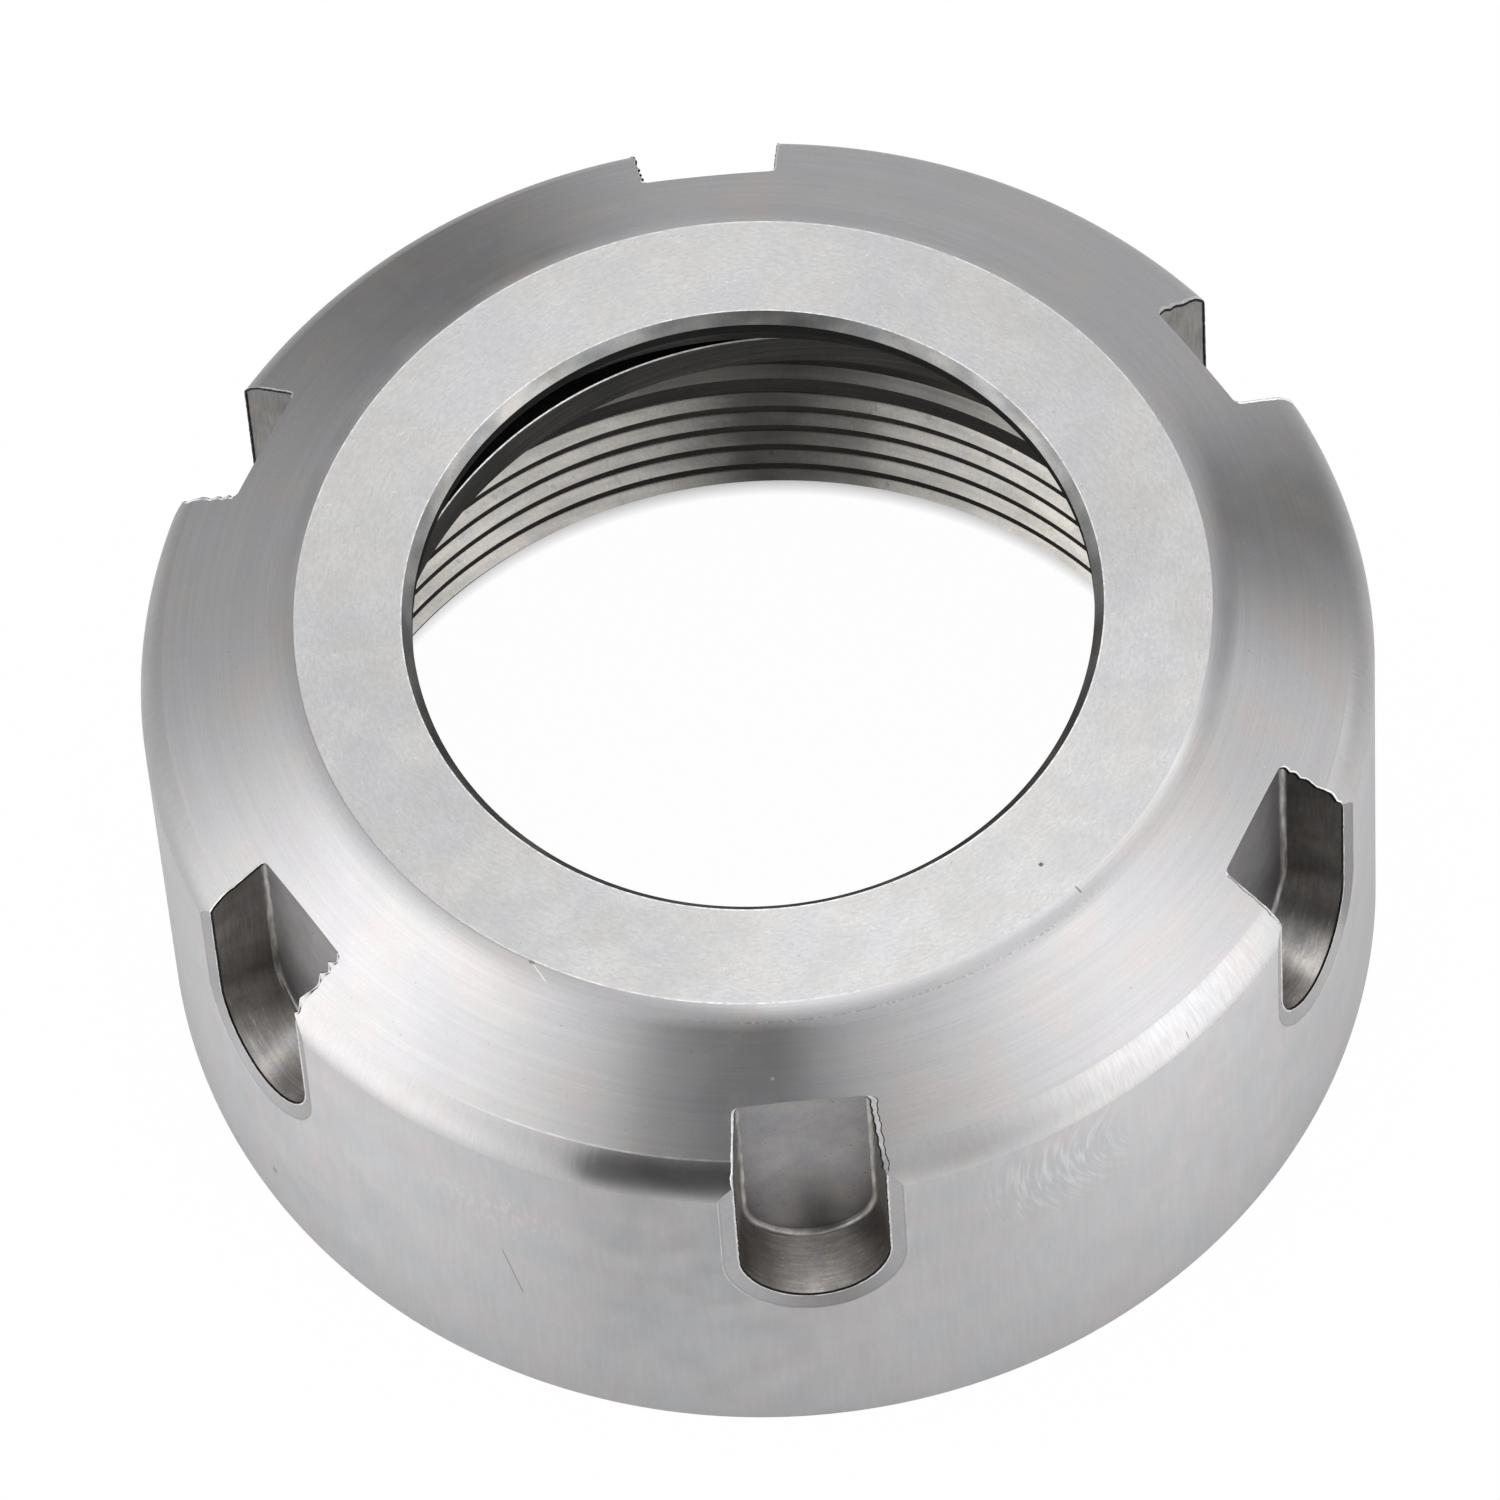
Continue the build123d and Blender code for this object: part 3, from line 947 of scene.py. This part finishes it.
        "marks": {"lines": (0.0, 0.6, ("turned", (0.14, 10.0, 10.0), 0.3, 0.7))},
    },
    # cut thread: smooth flanks with small torn flecks
    "thread": {
        "name": "cutSteelThread", "roughness": 0.14, "anisotropy": 0.3,
        "tints": ("A7A39E", "ACAAA5", "B0ACA5", "AAA8A5"), "tintSize": 1.8,
        "shades": {
            "lines": (0.9, 1.1, ("turned", (0.13, 4.0, 4.0), 0.32, 0.68)),
            "grain": (0.94, 1.06, ("solid", 0.15, 0.3, 0.7)),
            "flecks": (1.0, 0.8, ("turned", (0.2, 0.5, 0.5), 0.66, 0.76)),
            "sparks": (1.0, 1.25, ("solid", 0.16, 0.7, 0.78)),
        },
        "marks": {"lines": (0.0, 0.4, ("turned", (0.14, 4.0, 4.0), 0.3, 0.7))},
    },
    # narrow broken edges, rubbed bright, their near-white tints also a painted highlight
    "broken": {
        "name": "brokenSteelEdge", "roughness": 0.4, "anisotropy": 0.0,
        "tints": ("E2E2E3", "E6E5E5", "E7E6E5", "E9E7E6"), "tintSize": 2.0,
        "shades": {"grain": (0.8, 1.1, ("turned", (0.3, 0.4, 0.4), 0.35, 0.65))},
        "marks": {},
    },
    # torn metal pushed over the slots' edges by the cutter; its near-white tints also paint a highlight on
    # the burrs
    "torn": {
        "name": "tornSteelBurr", "roughness": 0.45, "anisotropy": 0.0,
        "tints": ("EDEDED", "F2F2F1", "F4F3F1", "F6F5F4"), "tintSize": 1.0,
        "shades": {"grain": (0.85, 1.05, ("solid", 0.2, 0.35, 0.65))},
        "marks": {"folds": (0.0, 4.0, ("solid", 0.3, 0.3, 0.7))},
    },
    # painted shade: near-black steel on the shaded side of a burr and on the level face under the lip
    "crease": {
        "name": "paintedShadowSteel", "roughness": 0.6, "anisotropy": 0.0,
        "tints": ("2B2B2C", "333231", "363433", "3A3735"), "tintSize": 1.0,
        "shades": {"grain": (0.7, 1.2, ("solid", 0.2, 0.35, 0.65))},
        "marks": {},
    },
}
materials = {finish: steel(values) for finish, values in finishes.items()}
nutShell = meshFromPatches("nutShell")

# Burrs: the cutter pushed a fine one over every edge of a slot's wall. Where it came out of the
# cone it tore a lip, with hollow scallops between its points.
burrs = {
    "step": 0.07,
    "fineDepth": 0.06,
    "tornDepth": 0.15,
    "fineReach": 0.025,
    "fineCrest": 0.05,
    "fineShade": 0.03,
    "tornShade": 0.06,
    "rootWidth": 0.05,
    "leastRoot": 0.03,
    "lift": 0.04,
    "crestFall": 0.005,
    "overhang": 0.06,
    "sunk": 0.01,
    "unevenness": 0.012,
    "leastReach": 0.005,
    "phaseSwing": 0.3,
    "phaseRate": 2.3,
    "pointSharpness": 0.8,
    "tornGlint": 0.25,
    "fineGlint": 0.6,
    "fineMiddle": 0.9,
    "fineLimits": (0.3, 1.6),
    "wanderSteps": (3, 7),
    "taperRings": 3,
    "seed": 11,
    # for each slot, from the front one on: the lip's least and most reach over the slot, width of
    # its bright crest, length of a scallop, and the finish of its root
    "lips": [
        (0.06, 0.05, 0.17, 0.42, "crease"),
        (0.02, 0.10, 0.09, 0.75, "torn"),
        (0.03, 0.06, 0.14, 0.95, "torn"),
        (0.01, 0.10, 0.04, 0.60, "turned"),
        (0.01, 0.13, 0.03, 0.80, "turned"),
        (0.02, 0.27, 0.04, 0.85, "turned"),
    ],
}


def wander(random, count, width):
    # a random line of about -1 to 1: noise averaged over a width in steps
    line = np.convolve(random.normal(size=count + 2 * width), np.ones(width) / width, "same")
    return line[width:-width] * np.sqrt(width) / 2


def burrTube(path, reach, crest, shade, depth, rootFinish):
    # closed tube of five strips along an edge: root on the surface, bright crest, and a side down
    # into the slot in painted shade. Each ring is the edge's place plus offsets along three ways, up
    # from the surface, over the slot and down the wall, and the rings shrink towards both ends.
    edge, upwards, over, into = path
    order = np.arange(len(reach))
    taper = np.clip(np.minimum(order, order[::-1]) / burrs["taperRings"], 0, 1)[:, None]
    reach, crest = reach[:, None], crest[:, None]
    root = np.minimum(reach - crest - burrs["rootWidth"], -burrs["leastRoot"])
    offsets = [
        over * root - upwards * burrs["sunk"],
        over * (reach - crest) + upwards * burrs["lift"],
        over * reach + upwards * (burrs["lift"] - burrs["crestFall"]),
        over * (reach + shade) - upwards * burrs["overhang"],
        into * depth - over * burrs["sunk"],
    ]
    rings = np.stack([edge + offset * taper for offset in offsets], 1)
    middle = rings.mean(1)[:, None]
    for side, finish in enumerate((rootFinish, "torn", "crease", "crease", "crease")):
        strip = rings[:, [side, (side + 1) % len(offsets)]]
        addPatch(strip, stripNormals(strip, strip - middle, {0: 1, -1: -2}), finish)


# The edge of one wall, down one side of the slot, round its end and up the other side
walkRows = np.concatenate([np.arange(len(rowArc)), np.arange(len(rowArc) - 1)[::-1]])
walkSide = np.where(np.arange(len(walkRows)) < len(rowArc), -1.0, 1.0)
walkAcross = (edgeAcross * rowCos)[walkRows] * walkSide
walkCos, walkSin = rowCos[walkRows] * walkSide, rowSin[walkRows]
random = np.random.default_rng(burrs["seed"])
for angle, (least, most, crest, scallop, rootFinish) in zip(slotAngles, burrs["lips"]):
    edge = slotPoints(angle, walkAcross, edgeHeight[walkRows], edgeDepth[walkRows])
    spot = np.arctan2(edge[:, 1], edge[:, 0])
    upwards = onAxis(np.sin(rowSlope[walkRows]), np.cos(rowSlope[walkRows]), spot)
    over = slotVectors(angle, -walkCos, walkSin, 0.0)
    into = over * np.sin(slots["lean"]) - slotVectors(angle, 0.0, 0.0, np.cos(slots["lean"]))
    walked = np.append(0, np.cumsum(np.linalg.norm(np.diff(edge, axis=0), axis=1)))
    whole = walked[-1]
    lip = whole - walked[len(walked) - 1 - np.searchsorted(straight, alongFade)]
    for first, last, torn in ((0.0, whole - lip, False), (whole - lip, whole, True)):
        steps = np.linspace(first, last, int((last - first) / burrs["step"]) + 2)
        path = [
            np.stack([np.interp(steps, walked, line[:, axis]) for axis in range(3)], -1)
            for line in (edge, upwards, over, into)
        ]
        rough, glint = (wander(random, len(steps), width) for width in burrs["wanderSteps"])
        if torn:
            # points where the sine of the scallops' phase is nought, hollows between them
            swing = burrs["phaseSwing"] * np.sin(steps * burrs["phaseRate"])
            phase = steps / scallop + random.uniform() + swing
            points = (1 - np.abs(np.sin(np.pi * phase))) ** burrs["pointSharpness"]
            reach = least + most * points + burrs["unevenness"] * rough
            reach = np.maximum(reach, burrs["leastReach"])
            tornCrest = crest * (1 + burrs["tornGlint"] * glint)
            burrTube(path, reach, tornCrest, burrs["tornShade"], burrs["tornDepth"], rootFinish)
        else:
            reach = burrs["fineReach"] + burrs["unevenness"] * rough
            share = np.clip(burrs["fineMiddle"] + burrs["fineGlint"] * glint, *burrs["fineLimits"])
            fineCrest = burrs["fineCrest"] * share
            burrTube(path, reach, fineCrest, burrs["fineShade"], burrs["fineDepth"], "torn")
slotBurrs = meshFromPatches("slotBurrs")

for piece in (nutShell, slotBurrs):
    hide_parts("nut_body")
    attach(piece, "root")
print("pieces ready")

# Camera: it looks down at the nut from the front. Elevation and the small turns that follow it
# are in radians, and the focal length in pixels of the photo.
view = {
    "elevation": 1.0273623,
    "distance": 580.68674,
    "aimHeight": 11.2527,
    "yaw": 0.000931,
    "pitch": 0.0000938,
    "roll": -0.0750060,
    "focal": 14197.82,
    "framePixels": 1500,
    "sensor": 36.0,
    "clip": (0.01, 20.0),
}


def turnedAbout(vector, axis, angle):
    # a vector turned about an axis: its own share, the share square to both, and the axis's
    return (
        vector * np.cos(angle)
        + np.cross(axis, vector) * np.sin(angle)
        + axis * (axis @ vector) * (1 - np.cos(angle))
    )


back = np.array([0.0, -np.cos(view["elevation"]), np.sin(view["elevation"])])
eye = np.array([0.0, 0.0, view["aimHeight"]]) + back * view["distance"]
right = np.array([1.0, 0.0, 0.0])
up = np.cross(back, right)
right, back = turnedAbout(right, up, view["yaw"]), turnedAbout(back, up, view["yaw"])
up, back = turnedAbout(up, right, view["pitch"]), turnedAbout(back, right, view["pitch"])
right, up = turnedAbout(right, back, view["roll"]), turnedAbout(up, back, view["roll"])
cameraData = bpy.data.cameras.new("camera")
cameraData.sensor_width = view["sensor"]
cameraData.lens = view["focal"] / view["framePixels"] * view["sensor"]
cameraData.clip_start, cameraData.clip_end = view["clip"]
camera = addObject("camera", cameraData)
stance = np.eye(4)
stance[:3] = np.stack([right, up, back, eye * millimetre], 1)
camera.matrix_world = stance.T.tolist()
bpy.context.scene.camera = camera

# Floor: a white stand of paper under the nut, in metres. Radii are where its painted shade in the
# bore ends, where a painted contact shadow darkens it towards the foot, and where the stand ends. It
# lies a hair under the foot, so that the two surfaces never coincide.
stand = {
    "halfSize": 3.0,
    "height": -2e-5,
    "paper": "F4F4F4",
    "shade": "8E8E8E",
    "paintedBoreShadeRadius": 0.0192,
    "paintedBoreShadeEdge": 0.001,
    "contactStart": 0.0194,
    "contactEnd": 0.0202,
    "contactOuter": 0.022,
    "contactTone": 0.45,
    "radius": 0.045,
    "edge": 0.005,
    "cameraShare": 0.985,
}
corners = [(-1, -1), (1, -1), (1, 1), (-1, 1)]
floorMesh = bpy.data.meshes.new("studioFloor")
floorMesh.from_pydata(
    [(x * stand["halfSize"], y * stand["halfSize"], stand["height"]) for x, y in corners],
    [],
    [(0, 1, 2, 3)],
)
floor = addObject("studioFloor", floorMesh)

# The camera sees the paper plain white with a faint shadow and a painted contact shadow at the
# foot. The steel sees the stand lit as it is, with a painted deep shade inside the bore, and beyond
# the stand the lower part of the studio.
paper = bpy.data.materials.new("whitePaperFloor")
tree = emptyTree(paper)
rays = addNode(tree, "LightPath").outputs
spot = addNode(tree, "TexCoord").outputs["Object"]
distance = addNode(tree, "VectorMath", {0: spot}, operation="LENGTH").outputs["Value"]


def ramped(start, end, low=0.0, high=1.0):
    # a value that goes from low to high between two distances from the nut's axis
    ends = {"From Min": start, "From Max": end, "To Min": low, "To Max": high}
    return addNode(tree, "MapRange", {"Value": distance, **ends})


paintedBoreShadeRadius, paintedBoreShadeEdge = stand["paintedBoreShadeRadius"], stand["paintedBoreShadeEdge"]
beyondPaintedShade = ramped(paintedBoreShadeRadius - paintedBoreShadeEdge, paintedBoreShadeRadius + paintedBoreShadeEdge)
# painted deep shade: a grey tone for the paper inside the bore
tones = {0: beyondPaintedShade, 6: linear(stand["shade"]), 7: linear(stand["paper"])}
tone = addNode(tree, "Mix", tones, data_type="RGBA").outputs[2]
dull = addNode(tree, "BsdfDiffuse", {"Color": tone})
# painted contact shadow: the paper's glow dimmed near the foot
contact = ramped(stand["contactStart"], stand["contactEnd"], 1.0, stand["contactTone"])
outer = addNode(tree, "Math", {0: distance, 1: stand["contactOuter"]}, operation="GREATER_THAN")
contact = addNode(tree, "Mix", {0: outer, 2: contact, 3: 1.0}, data_type="FLOAT")
glow = addNode(tree, "Emission", {"Color": (1, 1, 1, 1), "Strength": contact})
seen = {0: rays["Is Camera Ray"], 1: stand["cameraShare"]}
seen = addNode(tree, "Math", seen, operation="MULTIPLY")
lit = addNode(tree, "MixShader", {0: seen, 1: dull, 2: glow})
beyond = ramped(stand["radius"] - stand["edge"], stand["radius"] + stand["edge"])
through = addNode(tree, "Math", {0: beyond, 1: rays["Is Glossy Ray"]}, operation="MULTIPLY")
clear = addNode(tree, "BsdfTransparent")
surface = addNode(tree, "MixShader", {0: through, 1: lit, 2: clear})
addNode(tree, "OutputMaterial", {"Surface": surface})
floorMesh.materials.append(paper)

# The studio round the nut. Each soft light glows round one direction and fades with the angle
# from it: azimuth and elevation in degrees, sharpness, strength. Each panel covers a range of
# azimuth and elevation: middle, half width, half height, width of both soft edges, level.
studio = {
    "base": 0.02,
    "lights": {
        "leftBox": (185.7, 50.4, 7.5, 1.42),
        "leftCard": (198.9, -7.9, 4.2, 1.70),
        "leftSpill": (125.2, 19.5, 20.9, 0.39),
        "rightBox": (19.2, 20.6, 56.0, 0.79),
        "rightCard": (-30.6, -45.3, 2.86, 1.70),
        "frontSpill": (-32.3, 32.7, 4.74, 1.70),
    },
    "panels": {
        "backWall": (73.9, 39.9, 24.6, 51.9, 6.9, 4.4, 0.535),
        "topBox": (69.0, 80.4, 34.7, 23.0, 7.2, 1.3, 1.90),
        "tripod": (-63.9, 9.2, 3.8, 47.4, 38.4, 1.8, 0.32),
        "camera": (-103.2, 16.4, 18.7, 44.6, 1.0, 22.4, 0.06),
        "table": (98.5, -27.7, 60.0, 3.2, 26.1, 40.0, 1.17),
        "lens": (-92.0, 67.4, 20.0, 6.0, 17.0, 1.0, 0.02),
    },
    "lampSize": 0.4,
    "lampEnergy": 0.6,
    "lampHeight": 0.6,
}
world = bpy.data.worlds.new("studio")
bpy.context.scene.world = world
tree = emptyTree(world)
towards = addNode(tree, "TexCoord").outputs["Generated"]
x, y, z = addNode(tree, "SeparateXYZ", {0: towards}).outputs
azimuth = addNode(tree, "Math", {0: y, 1: x}, operation="ARCTAN2")
azimuth = addNode(tree, "Math", {0: azimuth}, operation="DEGREES")
elevation = addNode(tree, "Math", {0: z}, operation="ARCSINE")
elevation = addNode(tree, "Math", {0: elevation}, operation="DEGREES")
level = studio["base"]
for side, rise, sharpness, strength in studio["lights"].values():
    side, rise = np.radians(side), np.radians(rise)
    middle = onAxis(np.cos(rise), np.sin(rise), side).tolist()
    cosine = addNode(tree, "VectorMath", {0: towards, 1: middle}, operation="DOT_PRODUCT")
    fall = {0: cosine.outputs["Value"], 1: sharpness, 2: -sharpness}
    fall = addNode(tree, "Math", fall, operation="MULTIPLY_ADD")
    bell = addNode(tree, "Math", {0: fall}, operation="EXPONENT")
    level = addNode(tree, "Math", {0: bell, 1: strength, 2: level}, operation="MULTIPLY_ADD")
for side, rise, halfWidth, halfHeight, sideSoft, endSoft, panelLevel in studio["panels"].values():
    across = within(tree, azimuth, side, halfWidth, sideSoft)
    upwards = within(tree, elevation, rise, halfHeight, endSoft)
    covered = addNode(tree, "Math", {0: across, 1: upwards}, operation="MULTIPLY")
    level = addNode(tree, "Mix", {0: covered, 2: level, 3: panelLevel}, data_type="FLOAT")
room = addNode(tree, "Background", {"Color": (1, 1, 1, 1), "Strength": level})
white = addNode(tree, "Background", {"Color": (1, 1, 1, 1), "Strength": 1.0})
cameraRay = addNode(tree, "LightPath").outputs["Is Camera Ray"]
backdrop = addNode(tree, "MixShader", {0: cameraRay, 1: room, 2: white})
addNode(tree, "OutputWorld", {"Surface": backdrop})

# One soft lamp over the nut gives its shadow on the paper and no glint of its own
lampData = bpy.data.lights.new("overheadLamp", "AREA")
lampData.size = studio["lampSize"]
lampData.energy = studio["lampEnergy"]
lamp = addObject("overheadLamp", lampData)
lamp.location = (0.0, 0.0, studio["lampHeight"])
lamp.visible_glossy = False

bpy.context.scene.view_settings.view_transform = "Standard"
print("studio ready")
